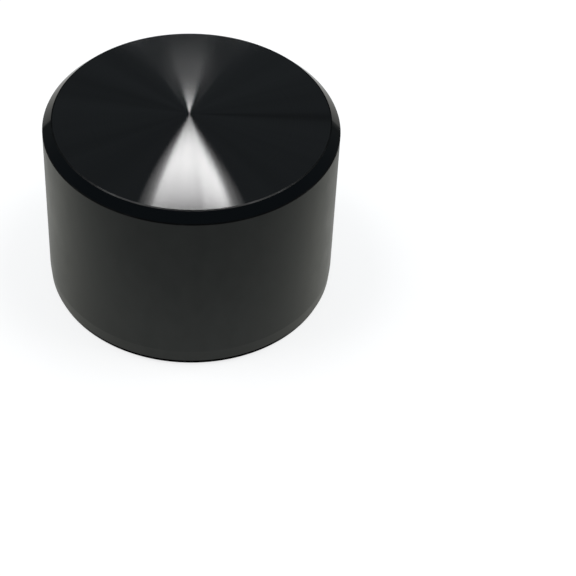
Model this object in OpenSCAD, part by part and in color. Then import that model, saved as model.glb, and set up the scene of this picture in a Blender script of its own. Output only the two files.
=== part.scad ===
// Round control knob for a panel shaft: a turned metal shell pressed over a moulded insert,
// whose split D-shaped socket is closed by a spring ring.
// Millimetres, +Z towards the face, origin at the middle of the rim that stands on the panel.

/* [Shell] */
// Outside diameter of the knob
knob_d = 40; // [32:0.5:60]
// Height of the knob from its rim to its face
knob_h = 27; // [20:0.5:40]
// Thickness of the shell's side
shell_wall = 1.25; // [0.8:0.05:2]
// Thickness of the shell behind its face
shell_top = 1.3; // [0.8:0.05:3]
// Width and height of the bevel round the face
bevel = 1.3; // [0.6:0.1:2.5]
// Width of the small flats that break the turned edges
edge_break = 0.12; // [0.04:0.02:0.3]
// Width of the chamfer at the foot of the side
foot_chamfer_w = 0.35; // [0.1:0.05:0.5]
// Height of the chamfer at the foot of the side
foot_chamfer_h = 0.75; // [0.2:0.05:2]

/* [Insert] */
// Radial clearance between the insert and the shell
insert_gap = 0.05; // [0.02:0.01:0.1]
// Depth of the insert's rim inside the shell's rim
insert_recess = 0.25; // [0.1:0.05:1]
// Thickness of the insert's wall at its rim
wall_rim_t = 1.05; // [0.8:0.05:2]
// Thickness that the moulding draft adds to the wall down to the floor
wall_draft = 0.6; // [0.2:0.05:1]
// Thickness of the insert's floor
floor_t = 1.2; // [0.8:0.1:3]
// Chamfer on the outer edge of the insert's rim and floor
insert_chamfer = 0.4; // [0.1:0.05:0.6]
// Radius of the fillets where the wall and the boss meet the floor
fillet_r = 0.6; // [0.5:0.1:1]

/* [Ribs] */
// Number of ribs between the boss and the wall
rib_count = 4; // [3:1:6]
// Thickness of a rib along its highest edge
rib_t = 1.2; // [0.8:0.1:2]
// Thickness that the moulding draft adds to each face of a rib down to the floor
rib_draft = 0.25; // [0.1:0.05:0.5]
// Height of a rib beside the boss, above the floor
rib_h = 8.8; // [4:0.1:11]
// Height of a rib beside the wall, above the floor
shelf_h = 14; // [11.5:0.1:16]
// Length of the high part of a rib beside the wall
shelf_l = 3.4; // [1:0.1:5]
// Length of the ramp between a rib's two heights
ramp_l = 2.3; // [0.5:0.1:3]
// Radius of the fillets where the ribs meet the floor
rib_fillet_r = 0.45; // [0.2:0.05:0.45]
// Chamfer along the edges of a rib
rib_chamfer = 0.2; // [0.05:0.05:0.3]

/* [Shaft socket] */
// Diameter of the shaft
shaft_d = 6; // [4:0.1:8]
// Thickness of the shaft across its flat
shaft_flat = 5; // [4.2:0.1:5.5]
// Clearance round the shaft
shaft_gap = 0.05; // [0.02:0.01:0.15]
// Thickness of the boss round the socket
boss_wall = 1.45; // [1.1:0.05:2.5]
// Height of the boss with its collar, above the floor
boss_h = 14.4; // [12:0.1:16.5]
// Height of the split collar that carries the ring
collar_h = 2.8; // [2:0.1:4]
// Thickness of the collar
collar_wall = 0.8; // [0.5:0.05:1]
// Chamfer on the edges of the boss and the collar
boss_chamfer = 0.22; // [0.05:0.01:0.3]
// Height of solid boss between the floor and the socket
socket_foot = 2; // [0.5:0.1:4]
// Width of the two slots that split the collar
slot_w = 0.8; // [0.4:0.1:1.5]
// Depth of the slots from the end of the collar
slot_depth = 5; // [3:0.1:7]

/* [Spring ring] */
// Diameter of the ring's wire
wire_d = 0.72; // [0.4:0.02:1]
// Radial clearance between the ring and the collar
ring_gap = 0.03; // [0.02:0.01:0.1]
// Distance along the axis between the ring's two ends
ring_lead = 0.8; // [0.2:0.05:1]
// Distance from the end of the collar to the nearer side of the wire
ring_inset = 0.1; // [0:0.02:0.2]
// Angle of the opening between the ring's ends
ring_opening = 10; // [4:1:40]
// Angle of the opening from the middle of the socket's flat
ring_turn = 10; // [0:1:40]

/* [Ejector marks] */
// Diameter of an ejector pin's mark on the floor
mark_d = 4; // [2:0.1:5]
// Depth of a mark
mark_depth = 0.15; // [0.05:0.05:0.3]
// Gap between the inner marks and the boss's fillet
mark_boss_gap = 0.1; // [0.05:0.05:1]
// Gap between the outer marks and the wall's fillet
mark_wall_gap = 0.25; // [0.05:0.05:1]
// Angle of the outer marks from the ribs
mark_turn = 18; // [16:1:30]

/* [Hidden] */
$fn = 96;

// How far a cut runs past the surface that it opens
past = 1;
// Flats in a quarter circle of a fillet
fillet_steps = 6;

// Shell
shell_r = knob_d / 2;
shell_bore_r = shell_r - shell_wall;
shell_roof_z = knob_h - shell_top;
slant_break = edge_break / sqrt(2);

// Insert
insert_r = shell_bore_r - insert_gap;
rim_r = insert_r - wall_rim_t;
wall_r = rim_r - wall_draft;
floor_z = shell_roof_z - floor_t;

// Ribs, with the first one half a pitch from the socket's flat
rib_pitch = 360 / rib_count;
flat_angle = 90;
rib_angles = [for (i = [0 : rib_count - 1]) flat_angle + (i + 0.5) * rib_pitch];
ramp_top_r = wall_r - shelf_l;
ramp_foot_r = ramp_top_r - ramp_l;
rib_end_r = insert_r - wall_rim_t / 2;

// Socket
socket_r = shaft_d / 2 + shaft_gap;
socket_flat_y = shaft_flat - shaft_d / 2 + shaft_gap;
boss_r = socket_r + boss_wall;
collar_r = socket_r + collar_wall;
collar_flat_y = socket_flat_y + collar_wall;
boss_end_z = floor_z - boss_h;
shoulder_z = boss_end_z + collar_h;
socket_depth = boss_h - socket_foot;

// Spring ring, from its deeper end round to the end nearest the rim
wire_r = wire_d / 2;
ring_r = collar_r + ring_gap + wire_r;
ring_start_z = boss_end_z + ring_inset + wire_r + ring_lead;
ring_start_angle = flat_angle - ring_turn - ring_opening / 2;
ring_sweep = 360 - ring_opening;
ring_steps = 72;
ring_sides = 14;

// Ejector marks
inner_mark_r = boss_r + fillet_r + mark_boss_gap + mark_d / 2;
outer_mark_r = wall_r - fillet_r - mark_wall_gap - mark_d / 2;

// Points of an arc about a centre, from one angle to another
function arc(centre, r, from, to) =
    [for (i = [0 : fillet_steps])
        let (a = from + (to - from) * i / fillet_steps)
        centre + r * [cos(a), sin(a)]];

// Half thickness of a rib at a height above the floor
function rib_half(h) = rib_t / 2 + rib_draft * (1 - h / shelf_h);

// A point on the ring's wire: step along the sweep, side round the wire
function wire_point(step, side) =
    let (along = step / ring_steps)
    let (turn = ring_start_angle - ring_sweep * along)
    let (a = 360 * side / ring_sides)
    let (r = ring_r + wire_r * cos(a))
    [r * cos(turn), r * sin(turn), ring_start_z - ring_lead * along + wire_r * sin(a)];

// Turned cup with a flat face, a bevel and a chamfered foot
module outer_shell() {
    color("#1d1e20")
    rotate_extrude()
    polygon([
        [shell_bore_r, edge_break],
        [shell_bore_r + edge_break, 0],
        [shell_r - foot_chamfer_w, 0],
        [shell_r, foot_chamfer_h],
        [shell_r, knob_h - bevel - edge_break],
        [shell_r - slant_break, knob_h - bevel + slant_break],
        [shell_r - bevel + slant_break, knob_h - slant_break],
        [shell_r - bevel - edge_break, knob_h],
        [0, knob_h],
        [0, shell_roof_z],
        [shell_bore_r, shell_roof_z]
    ]);
}

// Wall and floor of the insert, with draft inside and a fillet between them
module insert_cup() {
    rotate_extrude()
    polygon([
        [rim_r, insert_recess],
        [insert_r - insert_chamfer, insert_recess],
        [insert_r, insert_recess + insert_chamfer],
        [insert_r, shell_roof_z - insert_chamfer],
        [insert_r - insert_chamfer, shell_roof_z],
        [0, shell_roof_z],
        [0, floor_z],
        each arc([wall_r - fillet_r, floor_z - fillet_r], fillet_r, 90, 0)
    ]);
}

// Section of a rib of one height, measured from the floor
module rib_section(h) {
    half = [
        [rib_half(0) + rib_fillet_r, -floor_t / 2],
        each arc([rib_half(0) + rib_fillet_r, rib_fillet_r], rib_fillet_r, 270, 180),
        [rib_half(h - rib_chamfer), h - rib_chamfer],
        [rib_half(h) - rib_chamfer, h]
    ];
    last = len(half) - 1;
    polygon([each half, for (i = [last : -1 : 0]) [-half[i].x, half[i].y]]);
}

// Straight bar of that section, from the axis out to a radius, hanging from the floor
module rib_bar(h) {
    translate([0, 0, floor_z])
    rotate([-90, 0, -90])
    linear_extrude(rib_end_r)
    rib_section(h);
}

// Rib along +X: low beside the boss, with a ramp up to a shelf beside the wall
module rib() {
    rib_bar(rib_h);
    intersection() {
        rib_bar(shelf_h);
        translate([0, knob_d / 2, floor_z])
        rotate([90, 0, 0])
        linear_extrude(knob_d)
        polygon([
            [ramp_foot_r, floor_t],
            [ramp_foot_r, -rib_h],
            [ramp_top_r, -shelf_h],
            [insert_r, -shelf_h],
            [insert_r, floor_t]
        ]);
    }
}

// Round boss on the floor, up to the shoulder under the collar
module boss() {
    rotate_extrude()
    polygon([
        [0, shell_roof_z],
        [boss_r + fillet_r, shell_roof_z],
        each arc([boss_r + fillet_r, floor_z - fillet_r], fillet_r, 90, 180),
        [boss_r, shoulder_z + boss_chamfer],
        [boss_r - boss_chamfer, shoulder_z],
        [0, shoulder_z]
    ]);
}

// Collar on the boss, with a flat outside the flat of the socket
module collar() {
    difference() {
        rotate_extrude()
        polygon([
            [0, shoulder_z + past],
            [collar_r, shoulder_z + past],
            [collar_r, boss_end_z + boss_chamfer],
            [collar_r - boss_chamfer, boss_end_z],
            [0, boss_end_z]
        ]);
        translate([-knob_d / 2, collar_flat_y, boss_end_z - past])
        cube([knob_d, knob_d, collar_h + past]);
    }
}

// D-shaped hole for the shaft, open at the end of the collar
module socket() {
    translate([0, 0, boss_end_z - past])
    intersection() {
        cylinder(r = socket_r, h = socket_depth + past);
        translate([-knob_d / 2, socket_flat_y - knob_d, 0])
        cube([knob_d, knob_d, socket_depth + past]);
    }
}

// Slots through the collar and the top of the boss, one in the middle of the flat
module slots() {
    translate([-slot_w / 2, -boss_r - past, boss_end_z - past])
    cube([slot_w, 2 * (boss_r + past), slot_depth + past]);
}

// Shallow round marks of the ejector pins, two between each pair of ribs
module ejector_marks() {
    for (angle = rib_angles) {
        rotate(angle - rib_pitch / 2)
        ejector_mark(inner_mark_r);
        rotate(angle - mark_turn)
        ejector_mark(outer_mark_r);
    }
}

module ejector_mark(r) {
    translate([r, 0, floor_z - fillet_r])
    cylinder(d = mark_d, h = fillet_r + mark_depth);
}

// Moulded insert: cup, ribs and boss in one piece
module core_insert() {
    color("#141517")
    difference() {
        union() {
            insert_cup();
            boss();
            collar();
            for (angle = rib_angles) rotate(angle) rib();
        }
        socket();
        slots();
        ejector_marks();
    }
}

// Open ring of round wire that grips the collar, with its ends sprung apart along the axis
module spring_ring() {
    points = [
        for (step = [0 : ring_steps])
        for (side = [0 : ring_sides - 1])
        wire_point(step, side)
    ];
    skin = [
        for (step = [0 : ring_steps - 1])
        for (side = [0 : ring_sides - 1])
        let (a = step * ring_sides + side)
        let (b = step * ring_sides + (side + 1) % ring_sides)
        each [[a, b, b + ring_sides], [a, b + ring_sides, a + ring_sides]]
    ];
    first_end = [for (side = [ring_sides - 1 : -1 : 0]) side];
    last_end = [for (side = [0 : ring_sides - 1]) ring_steps * ring_sides + side];
    color("#c4c6c8")
    polyhedron(points, [each skin, first_end, last_end]);
}

outer_shell();
core_insert();
spring_ring();
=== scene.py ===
import math

import bmesh
import bpy
from mathutils import Matrix, Vector


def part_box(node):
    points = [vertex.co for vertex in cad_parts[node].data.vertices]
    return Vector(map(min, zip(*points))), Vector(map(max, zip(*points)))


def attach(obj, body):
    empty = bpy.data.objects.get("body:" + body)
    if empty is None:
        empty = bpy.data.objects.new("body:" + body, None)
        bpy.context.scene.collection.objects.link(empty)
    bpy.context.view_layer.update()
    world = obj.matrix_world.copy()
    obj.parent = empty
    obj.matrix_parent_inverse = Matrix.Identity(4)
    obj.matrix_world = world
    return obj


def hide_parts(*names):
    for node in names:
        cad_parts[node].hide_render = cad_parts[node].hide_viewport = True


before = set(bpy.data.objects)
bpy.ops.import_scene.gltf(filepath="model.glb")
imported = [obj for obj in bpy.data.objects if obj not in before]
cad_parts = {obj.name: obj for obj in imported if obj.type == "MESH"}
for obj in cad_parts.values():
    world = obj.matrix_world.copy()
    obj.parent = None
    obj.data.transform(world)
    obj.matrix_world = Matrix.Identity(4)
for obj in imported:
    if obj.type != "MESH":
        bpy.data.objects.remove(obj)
bpy.context.view_layer.update()

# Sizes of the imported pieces, in mm, which MM turns into metres.
MM = 0.001
SHELL_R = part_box("outer_shell")[1][0] / MM
FACE_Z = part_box("outer_shell")[1][2] / MM
SHELL_WALL = 1.25
SHELL_TOP = 1.3
BEVEL = 1.3
EDGE_BREAK = 0.12
INSERT_TOP_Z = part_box("core_insert")[1][2] / MM
INSERT_FLOOR = 1.2

# Shared by the patterns: the limits of a factor, the limits that most of a noise lies between, and the
# factor that takes the height out of a place.
UNIT = (0.0, 1.0)
NOISE = (0.3, 0.7)
FLAT = (1.0, 1.0, 0.0)


def set_values(made, values):
    """Set plain numbers and colours on the node's own sockets."""
    for socket, value in values.items():
        if isinstance(value, tuple):
            value = (*value, 1.0)
        made.inputs[socket.replace("_", " ")].default_value = value


def principled(name, **values):
    """A material with one Principled shader."""
    material = bpy.data.materials.new(name)
    material.use_nodes = True
    shader = material.node_tree.nodes["Principled BSDF"]
    set_values(shader, values)
    return material, material.node_tree, shader


def node(tree, kind, **settings):
    made = tree.nodes.new(kind)
    for key, value in settings.items():
        setattr(made, key, value)
    return made


def feed(tree, socket, source):
    """Link another node's output to the socket, or set the socket's own value."""
    if isinstance(source, bpy.types.NodeSocket):
        tree.links.new(source, socket)
    else:
        socket.default_value = source


def vector_math(tree, operation, *terms):
    made = node(tree, "ShaderNodeVectorMath", operation=operation)
    for socket, term in zip(made.inputs, terms):
        feed(tree, socket, term)
    return made.outputs["Value" if operation in ("LENGTH", "DISTANCE", "DOT_PRODUCT") else "Vector"]


def math_node(tree, operation, *terms):
    made = node(tree, "ShaderNodeMath", operation=operation)
    for socket, term in zip(made.inputs, terms):
        feed(tree, socket, term)
    return made.outputs[0]


def ranged(tree, source, limits, interpolation="LINEAR"):
    """The source carried from between the first two limits to between the last two."""
    made = node(tree, "ShaderNodeMapRange", interpolation_type=interpolation)
    for socket, value in zip(made.inputs, (source, *limits)):
        feed(tree, socket, value)
    return made.outputs["Result"]


def object_place(tree):
    return node(tree, "ShaderNodeTexCoord").outputs["Object"]


def height_of(tree, place):
    split = node(tree, "ShaderNodeSeparateXYZ")
    feed(tree, split.inputs[0], place)
    return split.outputs["Z"]


def spun_place(tree):
    """The radius and height of a place, so that a pattern over them runs round the axis."""
    place = object_place(tree)
    joined = node(tree, "ShaderNodeCombineXYZ")
    radius = vector_math(tree, "LENGTH", vector_math(tree, "MULTIPLY", place, FLAT))
    feed(tree, joined.inputs["X"], radius)
    feed(tree, joined.inputs["Z"], height_of(tree, place))
    return joined.outputs[0]


def grain(tree, place, scale, detail):
    """Noise over a place, with its cells per metre along each axis."""
    made = node(tree, "ShaderNodeTexNoise")
    made.inputs["Scale"].default_value = 1.0
    made.inputs["Detail"].default_value = detail
    feed(tree, made.inputs["Vector"], vector_math(tree, "MULTIPLY", place, scale))
    return made.outputs["Fac"]


def two_tone(tree, factor, tones):
    made = node(tree, "ShaderNodeMix", data_type="RGBA")
    feed(tree, made.inputs["Factor"], factor)
    for key, tone in zip("AB", tones):
        made.inputs[key].default_value = (*tone, 1.0)
    return made.outputs["Result"]


def bump(tree, height, strength, distance):
    made = node(tree, "ShaderNodeBump")
    made.inputs["Strength"].default_value = strength
    made.inputs["Distance"].default_value = distance
    feed(tree, made.inputs["Height"], height)
    return made.outputs["Normal"]


# Spun black face: the two flanks of its fine turned grooves lean out and in along the radius, and their
# gloss runs out along it too, so each lamp draws a fan through the spin centre. A flank has its name, its
# lean in degrees and its roughness. Faint paler and darker streaks round the centre are painted reflections
# in its colour, and the dark streak towards one side is a painted dark reflection.
SPIN_CENTRE = (-0.34 * MM, 0.76 * MM, 0.0)
FLANKS = (("out", 6.2, 0.0705), ("in", -19.5, 0.0800))
INNER_SHARE = 0.26
FACE_TINT = (0.65, 0.65, 0.65)
FACE_STRETCH = 0.995
# The face's tone holds faint paler and darker streaks round the spin centre: painted reflections.
REFLECTION_STREAK_SCALE = (2.6, 2.6, 2.6)
REFLECTION_STREAK_TONES = (0.0190, 0.0255)
TURN_SCALE = (5000.0, 0.0, 0.0)
TURN_LIMITS = (0.35, 0.65, 0.95, 1.05)
# A narrow dark streak towards one side: a painted dark reflection.
DARK_STREAK_TOWARD = (0.9997, -0.0262, 0.0)
DARK_STREAK_LIMITS = (0.0, 0.085, 0.74, 1.0)


def spun_face():
    material, tree, plain = principled("spun_face")
    tree.nodes.remove(plain)
    from_centre = vector_math(tree, "SUBTRACT", object_place(tree), SPIN_CENTRE)
    radial = vector_math(tree, "NORMALIZE", vector_math(tree, "MULTIPLY", from_centre, FLAT))
    normal = node(tree, "ShaderNodeNewGeometry").outputs["Normal"]
    # Painted reflections: paler and darker streaks round the spin centre.
    painted_reflections = ranged(tree, grain(tree, radial, REFLECTION_STREAK_SCALE, detail=3.0), (*NOISE, *REFLECTION_STREAK_TONES))
    grooves = ranged(tree, grain(tree, spun_place(tree), TURN_SCALE, detail=2.0), TURN_LIMITS)
    # Painted dark reflection: a narrow dark streak towards one side.
    painted_dark_streak = ranged(tree, vector_math(tree, "DISTANCE", radial, DARK_STREAK_TOWARD), DARK_STREAK_LIMITS, "SMOOTHSTEP")
    tone = math_node(tree, "MULTIPLY", math_node(tree, "MULTIPLY", painted_reflections, grooves), painted_dark_streak)
    both = node(tree, "ShaderNodeMixShader")
    both.inputs["Fac"].default_value = INNER_SHARE
    for socket, (name, lean, roughness) in zip(both.inputs[1:], FLANKS):
        flank = node(tree, "ShaderNodeBsdfPrincipled", name="flank_" + name)
        finish = {"Metallic": 1.0, "Roughness": roughness}
        set_values(flank, finish | {"Anisotropic": FACE_STRETCH, "Specular_Tint": FACE_TINT})
        slope = (math.tan(math.radians(lean)),) * 3
        leant = vector_math(tree, "NORMALIZE", vector_math(tree, "MULTIPLY_ADD", radial, slope, normal))
        feed(tree, flank.inputs["Base Color"], tone)
        feed(tree, flank.inputs["Normal"], leant)
        feed(tree, flank.inputs["Tangent"], radial)
        feed(tree, socket, flank.outputs[0])
    feed(tree, tree.nodes["Material Output"].inputs["Surface"], both.outputs[0])
    return material


# Cut bevel: mirror black with the tool's fine lines round it.
BEVEL_TONES = ((0.0163, 0.0186, 0.0206), (0.0190, 0.0218, 0.0241))
BEVEL_TINT = (1.0, 0.98, 0.94)
BEVEL_LINES = (0.0, 0.0, 14000.0)
BEVEL_ROUGHNESS = (0.04, 0.06)


def cut_bevel():
    material, tree, shader = principled("cut_bevel", Metallic=1.0, Specular_Tint=BEVEL_TINT)
    lines = ranged(tree, grain(tree, spun_place(tree), BEVEL_LINES, detail=2.0), (*NOISE, *UNIT))
    feed(tree, shader.inputs["Base Color"], two_tone(tree, lines, BEVEL_TONES))
    feed(tree, shader.inputs["Roughness"], ranged(tree, lines, (*UNIT, *BEVEL_ROUGHNESS)))
    return material


# Broken edges of the bevel, rubbed a little paler in places.
EDGE_TONES = ((0.0105, 0.0105, 0.0105), (0.0190, 0.0190, 0.0190))
EDGE_TINT = (0.5, 0.5, 0.5)
EDGE_ROUGHNESS = 0.3
RUB_SCALE = (600.0, 600.0, 600.0)
RUB_LIMITS = (0.5, 0.72)


def broken_edge():
    finish = {"Metallic": 1.0, "Roughness": EDGE_ROUGHNESS, "Specular_Tint": EDGE_TINT}
    material, tree, shader = principled("broken_edge", **finish)
    rubbed = ranged(tree, grain(tree, object_place(tree), RUB_SCALE, detail=4.0), (*RUB_LIMITS, *UNIT))
    feed(tree, shader.inputs["Base Color"], two_tone(tree, rubbed, EDGE_TONES))
    return material


# Blasted side and foot: an even satin with a fine grain and faint patches. The foot's far darker tones and
# tint are painted shade, for the contact shade where the foot meets the floor.
PATCH_SCALE = (400.0, 400.0, 250.0)
BLAST_SCALE = (5200.0, 5200.0, 5200.0)
BLAST_BUMP = (0.5, 0.008 * MM)
BLAST_ROUGHNESS = (0.38, 0.42)
SIDE_TONES = ((0.0254, 0.0270, 0.0262), (0.0292, 0.0310, 0.0301))
SIDE_TINT = (0.95, 0.95, 0.905)
# Painted shade: the foot's tones and tint are far darker than the side's.
FOOT_SHADE_TONES = ((0.0075, 0.0077, 0.0075), (0.0085, 0.0087, 0.0085))
FOOT_SHADE_TINT = (0.3, 0.3, 0.3)


def blasted(name, tones, tint):
    material, tree, shader = principled(name, Metallic=1.0, Specular_Tint=tint)
    place = object_place(tree)
    patches = ranged(tree, grain(tree, place, PATCH_SCALE, detail=4.0), (*NOISE, *UNIT))
    blast = grain(tree, place, BLAST_SCALE, detail=2.0)
    feed(tree, shader.inputs["Base Color"], two_tone(tree, patches, tones))
    feed(tree, shader.inputs["Roughness"], ranged(tree, patches, (*UNIT, *BLAST_ROUGHNESS)))
    feed(tree, shader.inputs["Normal"], bump(tree, blast, *BLAST_BUMP))
    return material


# Turned shell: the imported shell's section, with the slight taper that its side has above the foot.
TAPER_W = 0.13
TAPER_H = 2.5
FOOT_W = 0.25
FOOT_H = 0.65
TURN_STEPS = 256
SIDE, FACE, CUT, BROKEN, FOOT = range(5)


def revolved(name, section, materials):
    """A closed solid turned about Z. A point of the section has its radius, its height and the number of
    the material on the strip from there to the next point."""
    shape = bmesh.new()
    circles = []
    for radius, height, _ in section:
        count = TURN_STEPS if radius else 1
        circle = []
        for step in range(count):
            angle = 2 * math.pi * step / count
            place = (radius * math.cos(angle) * MM, radius * math.sin(angle) * MM, height * MM)
            circle.append(shape.verts.new(place))
        circles.append(circle)
    for (*_, material), near, far in zip(section, circles, circles[1:] + circles[:1]):
        if len(near) == len(far) == 1:
            continue
        for step in range(TURN_STEPS):
            after = step + 1
            ends = ((near, step), (near, after), (far, after), (far, step))
            corners = [circle[turn % len(circle)] for circle, turn in ends]
            # A strip that ends on the axis has three corners.
            face = shape.faces.new(dict.fromkeys(corners))
            face.material_index = material
            face.smooth = True
    for circle in circles:
        for start, end in zip(circle, circle[1:] + circle[:1]):
            if start is not end:
                shape.edges.get((start, end)).smooth = False
    bmesh.ops.recalc_face_normals(shape, faces=shape.faces)
    mesh = bpy.data.meshes.new(name)
    shape.to_mesh(mesh)
    shape.free()
    for material in materials:
        mesh.materials.append(material)
    made = bpy.data.objects.new(name, mesh)
    bpy.context.collection.objects.link(made)
    return made


bore_r = SHELL_R - SHELL_WALL
roof_z = FACE_Z - SHELL_TOP
taper_r = SHELL_R - TAPER_W
slant = EDGE_BREAK * math.sqrt(0.5)
shell_section = (
    (bore_r, EDGE_BREAK, SIDE),
    (bore_r + EDGE_BREAK, 0.0, SIDE),
    (taper_r - FOOT_W, 0.0, FOOT),
    (taper_r, FOOT_H, SIDE),
    (SHELL_R, TAPER_H, SIDE),
    (SHELL_R, FACE_Z - BEVEL - EDGE_BREAK, BROKEN),
    (SHELL_R - slant, FACE_Z - BEVEL + slant, CUT),
    (SHELL_R - BEVEL + slant, FACE_Z - slant, BROKEN),
    (SHELL_R - BEVEL - EDGE_BREAK, FACE_Z, FACE),
    (0.0, FACE_Z, FACE),
    (0.0, roof_z, SIDE),
    (bore_r, roof_z, SIDE),
)
shell_finish = (
    blasted("blasted_side", SIDE_TONES, SIDE_TINT),
    spun_face(),
    cut_bevel(),
    broken_edge(),
    # The foot chamfer's dark tones and tint are painted shade at the foot.
    blasted("foot_chamfer_shade", FOOT_SHADE_TONES, FOOT_SHADE_TINT),
)
shell = revolved("turned_shell", shell_section, shell_finish)
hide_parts("outer_shell")
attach(shell, "root")

# Moulded insert: satin black, with pale drag marks down its walls and tool rings over its floor. The
# rings are real, and their paler tone is a painted sheen of the light they catch.
DRAG_SCALE = (900.0, 900.0, 110.0)
DRAG_TONES = ((0.0135, 0.0142, 0.0150), (0.0600, 0.0610, 0.0600))
DRAG_LIMITS = (0.68, 0.76)
DRAG_ROUGHNESS = (0.35, 0.75, 0.31, 0.42)
RING_PITCH = 0.9 * MM
RING_WAVER = {"Distortion": 3.0, "Detail": 3.0, "Detail_Scale": 0.35}
# The rings' paler tone is a painted sheen of caught light.
RING_AND_SHEEN_TONES = ((0.0160, 0.0166, 0.0170), (0.0420, 0.0430, 0.0430))
RING_BUMP = (0.35, 0.03 * MM)
RING_PATCH = (380.0, 380.0, 0.0)
RING_PATCH_LIMITS = (0.35, 0.65, 0.25, 1.0)
# The radians that the wave texture runs through per unit of its scale and length.
WAVE_RADIANS = 20
MOULD_ROUGHNESS = 0.4
FACING_DOWN = -0.9
NEAR = 0.02


def moulded_black():
    material, tree, shader = principled("moulded_black")
    drag = grain(tree, object_place(tree), DRAG_SCALE, detail=4.0)
    worn = ranged(tree, drag, (*DRAG_LIMITS, *UNIT))
    feed(tree, shader.inputs["Base Color"], two_tone(tree, worn, DRAG_TONES))
    feed(tree, shader.inputs["Roughness"], ranged(tree, drag, DRAG_ROUGHNESS))
    return material


def moulded_floor():
    material, tree, shader = principled("moulded_floor", Roughness=MOULD_ROUGHNESS)
    place = object_place(tree)
    rings = node(tree, "ShaderNodeTexWave", wave_type="RINGS", rings_direction="Z")
    set_values(rings, RING_WAVER | {"Scale": 2 * math.pi / (WAVE_RADIANS * RING_PITCH)})
    feed(tree, rings.inputs["Vector"], place)
    patches = ranged(tree, grain(tree, place, RING_PATCH, detail=2.0), RING_PATCH_LIMITS)
    cut = math_node(tree, "MULTIPLY", rings.outputs["Fac"], patches)
    feed(tree, shader.inputs["Base Color"], two_tone(tree, cut, RING_AND_SHEEN_TONES))
    feed(tree, shader.inputs["Normal"], bump(tree, cut, *RING_BUMP))
    return material


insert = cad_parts["core_insert"]
insert_floor_z = INSERT_TOP_Z - INSERT_FLOOR
insert.data.materials.clear()
insert.data.materials.append(moulded_black())
insert.data.materials.append(moulded_floor())
for face in insert.data.polygons:
    if face.normal.z < FACING_DOWN and abs(face.center.z / MM - insert_floor_z) < NEAR:
        face.material_index = 1

# Spring wire: bright drawn steel, its drawing lines along the wire. It is shaded round, with crisp ends.
WIRE_LINES = (9000.0, 0.0, 9000.0)
WIRE_TONES = ((0.55, 0.56, 0.57), (0.69, 0.70, 0.71))
WIRE_ROUGHNESS = (0.27, 0.18)
WELD_GAP = 0.001 * MM
END_ANGLE = math.radians(40)


def spring_steel():
    material, tree, shader = principled("spring_steel", Metallic=1.0)
    drawn = ranged(tree, grain(tree, spun_place(tree), WIRE_LINES, detail=3.0), (*NOISE, *UNIT))
    feed(tree, shader.inputs["Base Color"], two_tone(tree, drawn, WIRE_TONES))
    feed(tree, shader.inputs["Roughness"], ranged(tree, drawn, (*UNIT, *WIRE_ROUGHNESS)))
    return material


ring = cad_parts["spring_ring"]
ring.data.materials.clear()
ring.data.materials.append(spring_steel())
for face in ring.data.polygons:
    face.use_smooth = True
ring.modifiers.new("weld", "WELD").merge_threshold = WELD_GAP
ring.modifiers.new("wire_ends", "EDGE_SPLIT").split_angle = END_ANGLE

# White floor: a pale matt sheet that takes the knob's shadow, lifted to white where it is looked at. In
# gloss the lift is a painted pool of light that fades away from the knob, with painted shade in the nook at
# its foot, and it ends at the far edge of the lit sheet.
FLOOR_SIZE = 6.0
FLOOR_PALE = (0.35, 0.35, 0.35)
FLOOR_LIFT = 0.74
WHITE = (1.0, 1.0, 1.0)
POOL_CENTRE = (-4 * MM, 0.0, 0.0)
POOL_SHAPE = (1.0, 1.4, 1.0)
LIGHT_POOL_LIMITS = (20 * MM, 60 * MM, 1.20, 0.43)
NOOK_SHADE_LIMITS = (20 * MM, 32 * MM, 0.68, 1.0)
SHEET_CENTRE = (-209 * MM, 0.0, 0.0)
SHEET_LIMITS = (560 * MM, 575 * MM, 1.0, 0.0)


def floor_white():
    matt = {"Base_Color": FLOOR_PALE, "Roughness": 1.0, "Specular_IOR_Level": 0.0}
    material, tree, shader = principled("floor_white", Emission_Color=WHITE, **matt)
    rays = node(tree, "ShaderNodeLightPath").outputs
    place = object_place(tree)
    from_pool = vector_math(tree, "SUBTRACT", place, POOL_CENTRE)
    far = vector_math(tree, "LENGTH", vector_math(tree, "MULTIPLY", from_pool, POOL_SHAPE))
    # Painted pool of light, seen in gloss, with painted shade in the nook at the knob's foot.
    painted_pool = math_node(tree, "MULTIPLY", ranged(tree, far, LIGHT_POOL_LIMITS), ranged(tree, far, NOOK_SHADE_LIMITS))
    sheet = ranged(tree, vector_math(tree, "DISTANCE", place, SHEET_CENTRE), SHEET_LIMITS)
    lift = math_node(tree, "MULTIPLY", painted_pool, sheet)
    mirrored = math_node(tree, "MULTIPLY", rays["Is Glossy Ray"], lift)
    looked_at = math_node(tree, "MAXIMUM", rays["Is Camera Ray"], rays["Is Transmission Ray"])
    seen = math_node(tree, "MAXIMUM", looked_at, mirrored)
    feed(tree, shader.inputs["Emission Strength"], math_node(tree, "MULTIPLY", seen, FLOOR_LIFT))
    return material


bpy.ops.mesh.primitive_plane_add(size=FLOOR_SIZE, location=(0, 0, 0))
floor = bpy.context.object
floor.name = "floor"
floor.data.materials.append(floor_white())

# Dim room with a soft glow behind the knob, darker towards the horizon.
ROOM = 0.21
GLOW = 0.26
GLOW_FROM = (0.0, 0.78, 0.63)
GLOW_LIMITS = (0.2, 0.95, ROOM, ROOM + GLOW)
SKYLINE_LIMITS = (0.0, 0.4, 0.4, 1.0)
ROOM_TINT = (0.88, 1.0, 1.09)

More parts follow.
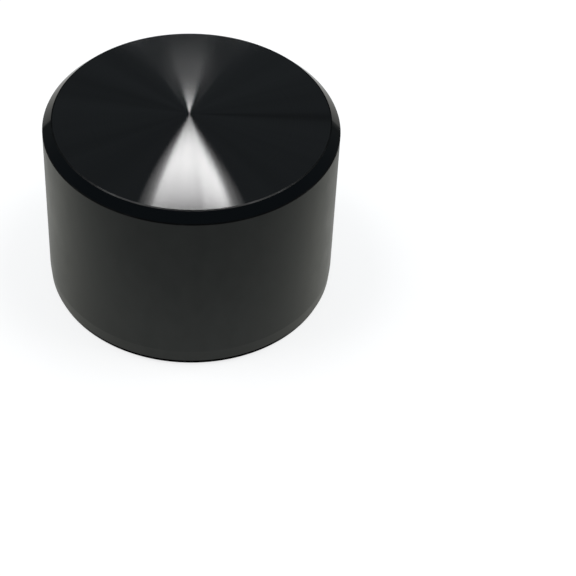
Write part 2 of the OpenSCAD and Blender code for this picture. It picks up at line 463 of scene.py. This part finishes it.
world = bpy.data.worlds.new("studio")
bpy.context.scene.world = world
world.use_nodes = True
sky = world.node_tree
look = node(sky, "ShaderNodeTexCoord").outputs["Generated"]
glow = ranged(sky, vector_math(sky, "DOT_PRODUCT", look, GLOW_FROM), GLOW_LIMITS, "SMOOTHSTEP")
skyline = ranged(sky, height_of(sky, look), SKYLINE_LIMITS)
backdrop = sky.nodes["Background"]
set_values(backdrop, {"Color": ROOM_TINT})
feed(sky, backdrop.inputs["Strength"], math_node(sky, "MULTIPLY", glow, skyline))

# Strip lamps, flagged off the floor, that draw the fans on the face. Each row is nested, widest last and a
# little further off, so that its fan has soft edges. The front rows stand edge to edge and widen upwards.
ROW_STAGGER = 0.2
# A row has its name, then its elevation, azimuth, distance and rise, its height, and its steps, which are
# each a half width and a radiance.
REAR_ROWS = (
    ("flare", (56.3, 7.4, 126.0, 5.6), 7.6, ((4.0, 11),)),
    ("rear", (77.8, 0.0, 126.3, 0.0), 6.0, ((11.0, 92), (14.5, 70), (18.5, 43))),
    ("rim", (71.2, 0.0, 129.4, 0.0), 8.0, ((13.0, 1.6), (19.0, 2.3), (27.0, 3.0))),
)
FRONT_ELEVATION = 56.3
FRONT_DISTANCE = 126.0
FRONT_HEIGHT = 3.6
# A front row has its rise, its azimuth, its half width and its share of the steps' radiance. A step has
# what it adds to the half width, and its radiance.
FRONT_STEPS = ((0.0, 36), (1.3, 14), (3.0, 7), (5.0, 5))
FRONT_ROWS = (
    (-6.6, -0.7, 5.9, 0.82),
    (-3.0, -0.5, 8.3, 1.00),
    (0.6, 0.0, 10.6, 0.95),
    (4.2, 0.3, 12.3, 0.68),
    (7.8, 0.4, 13.5, 0.55),
)
# Soft boxes to the left and right.
BOX_ELEVATION = 66.0
BOX_DISTANCE = 700.0
BOX_SIZE = 300.0
BOX_RADIANCE = 6.4


def area_lamp(name, place, width, height, radiance):
    """A rectangular lamp aimed at the middle of the face. Its place is an elevation and an azimuth from +Y,
    in degrees, a distance, and a rise that lifts it in its own plane."""
    elevation, azimuth, distance, rise = place
    climb = math.radians(elevation)
    heading = math.radians(azimuth)
    level = Vector((math.sin(heading), math.cos(heading), 0))
    back = math.cos(climb) * level + math.sin(climb) * Vector((0, 0, 1))
    turn = (-back).to_track_quat("-Z", "Y")
    upward = turn @ Vector((0, 1, 0))
    data = bpy.data.lights.new(name, "AREA")
    data.shape = "RECTANGLE"
    data.size = width * MM
    data.size_y = height * MM
    data.energy = radiance * math.pi * data.size * data.size_y
    lamp = bpy.data.objects.new(name, data)
    bpy.context.collection.objects.link(lamp)
    lamp.location = (Vector((0, 0, FACE_Z)) + distance * back + rise * upward) * MM
    lamp.rotation_mode = "QUATERNION"
    lamp.rotation_quaternion = turn
    return lamp


knob_only = bpy.data.collections.new("knob_only")
for piece in (shell, insert, ring):
    knob_only.objects.link(piece)

rows = list(REAR_ROWS)
for number, (rise, azimuth, half, share) in enumerate(FRONT_ROWS):
    place = (FRONT_ELEVATION, azimuth, FRONT_DISTANCE, rise)
    steps = [(half + spread, radiance * share) for spread, radiance in FRONT_STEPS]
    rows.append((f"front_{number}", place, FRONT_HEIGHT, steps))
for row, (elevation, azimuth, distance, rise), height, steps in rows:
    for step, (half, radiance) in enumerate(steps):
        place = (elevation, azimuth, distance + ROW_STAGGER * step, rise)
        lamp = area_lamp(f"strip_{row}_{step}", place, 2 * half, height, radiance)
        lamp.light_linking.receiver_collection = knob_only
for side, azimuth in (("left", -90.0), ("right", 90.0)):
    place = (BOX_ELEVATION, azimuth, BOX_DISTANCE, 0.0)
    area_lamp("softbox_" + side, place, BOX_SIZE, BOX_SIZE, BOX_RADIANCE)

# Camera at the photograph's viewing angle, from the fit of the outline.
CAMERA_ELEVATION = math.radians(41.297)
CAMERA_DISTANCE = 256.05
YAW = math.radians(-3.030)
PITCH = math.radians(2.925)
ROLL = math.radians(0.578)
FOCAL_PX = 1838.62
PICTURE_PX = 576
SENSOR = 36.0
CLIP_START = 5 * MM

aim = Vector((0, 0, FACE_Z / 2))
stand = aim + CAMERA_DISTANCE * Vector((0, -math.cos(CAMERA_ELEVATION), math.sin(CAMERA_ELEVATION)))
ahead = (aim - stand).normalized()
right = ahead.cross(Vector((0, 0, 1))).normalized()
down = ahead.cross(right)
swing = Matrix.Rotation(ROLL, 3, "Z") @ Matrix.Rotation(PITCH, 3, "X") @ Matrix.Rotation(YAW, 3, "Y")
right, down, ahead = swing @ Matrix((right, down, ahead))
lens = bpy.data.cameras.new("photo_camera")
lens.sensor_width = SENSOR
lens.lens = FOCAL_PX * SENSOR / PICTURE_PX
lens.clip_start = CLIP_START
camera = bpy.data.objects.new("photo_camera", lens)
bpy.context.collection.objects.link(camera)
facing = Matrix((right, -down, -ahead)).transposed()
camera.matrix_world = Matrix.Translation(stand * MM) @ facing.to_4x4()
bpy.context.scene.camera = camera

bpy.context.scene.view_settings.view_transform = "Standard"

bpy.context.view_layer.update()
